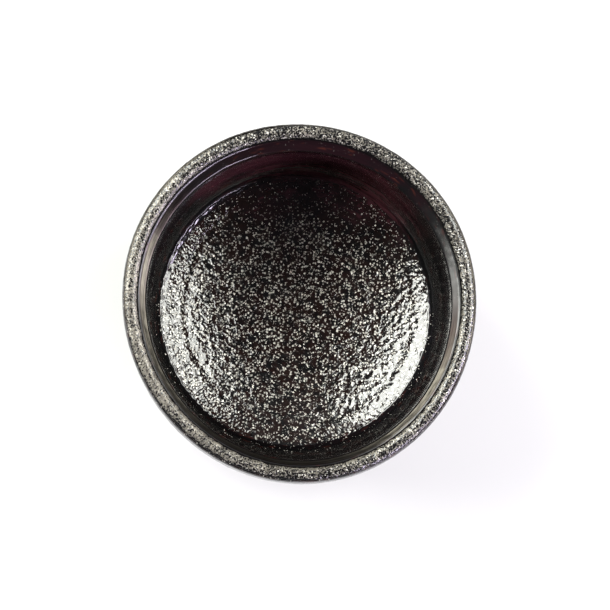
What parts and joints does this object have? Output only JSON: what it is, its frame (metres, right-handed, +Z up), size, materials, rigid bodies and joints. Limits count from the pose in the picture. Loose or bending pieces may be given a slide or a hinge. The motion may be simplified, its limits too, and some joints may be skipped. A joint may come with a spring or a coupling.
{
  "type": "matcha bowl",
  "caption": "Deep wheel-thrown tea bowl with a rounded speckled lip, an inner ledge, upright walls, a dished floor and a foot ring, dark glazed inside and out.",
  "frame": {"origin": "middle of the foot ring's resting face, on the table", "axes": "+Z up along the bowl's turning axis, +X and +Y level; the bowl has no front"},
  "size_m": [0.1206, 0.1206, 0.075],
  "materials": {
    "bare_clay": "matte",
    "black_glaze": "gloss",
    "silver_black_glaze": "gloss"
  },
  "bodies": {
    "root": {"stoneware_body": "bare_clay", "foot_ring": "bare_clay", "interior_glaze": "black_glaze", "exterior_glaze": "black_glaze", "lip_glaze": "silver_black_glaze"}
  },
  "joints": []
}
